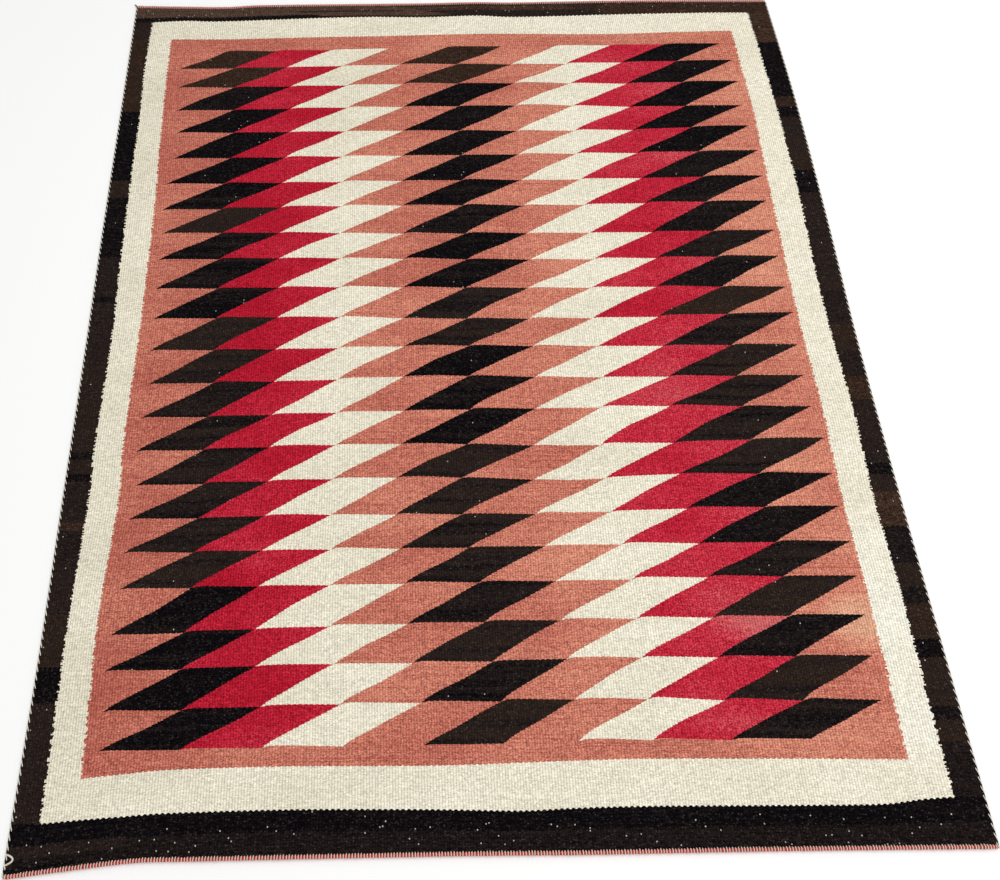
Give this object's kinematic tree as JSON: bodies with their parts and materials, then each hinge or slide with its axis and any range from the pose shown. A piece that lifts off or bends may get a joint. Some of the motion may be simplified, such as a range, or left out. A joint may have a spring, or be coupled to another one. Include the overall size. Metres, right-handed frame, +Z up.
{
  "type": "navajo rug",
  "caption": "Flat hand-woven wool rug with stacked leaning parallelograms, ivory and dark borders, red end cords and white side cords.",
  "frame": {"origin": "on the floor, under the centre of the rug's box", "axes": "+X across the warps to the right, +Y along the warps from the near end to the far end, +Z up"},
  "size_m": [1.23, 1.5418, 0.0037],
  "materials": {
    "patterned_wool": "matte weft-faced wool in near-black brown, ivory, salmon and red, with slight streaks",
    "red_cord_wool": "matte plied wool cord, coral red",
    "white_cord_wool": "matte plied wool cord, undyed"
  },
  "bodies": {
    "root": {"rug_web": "patterned_wool", "end_cord_near": "red_cord_wool", "end_cord_far": "red_cord_wool", "side_cord_left": "white_cord_wool", "side_cord_right": "white_cord_wool"}
  },
  "joints": []
}
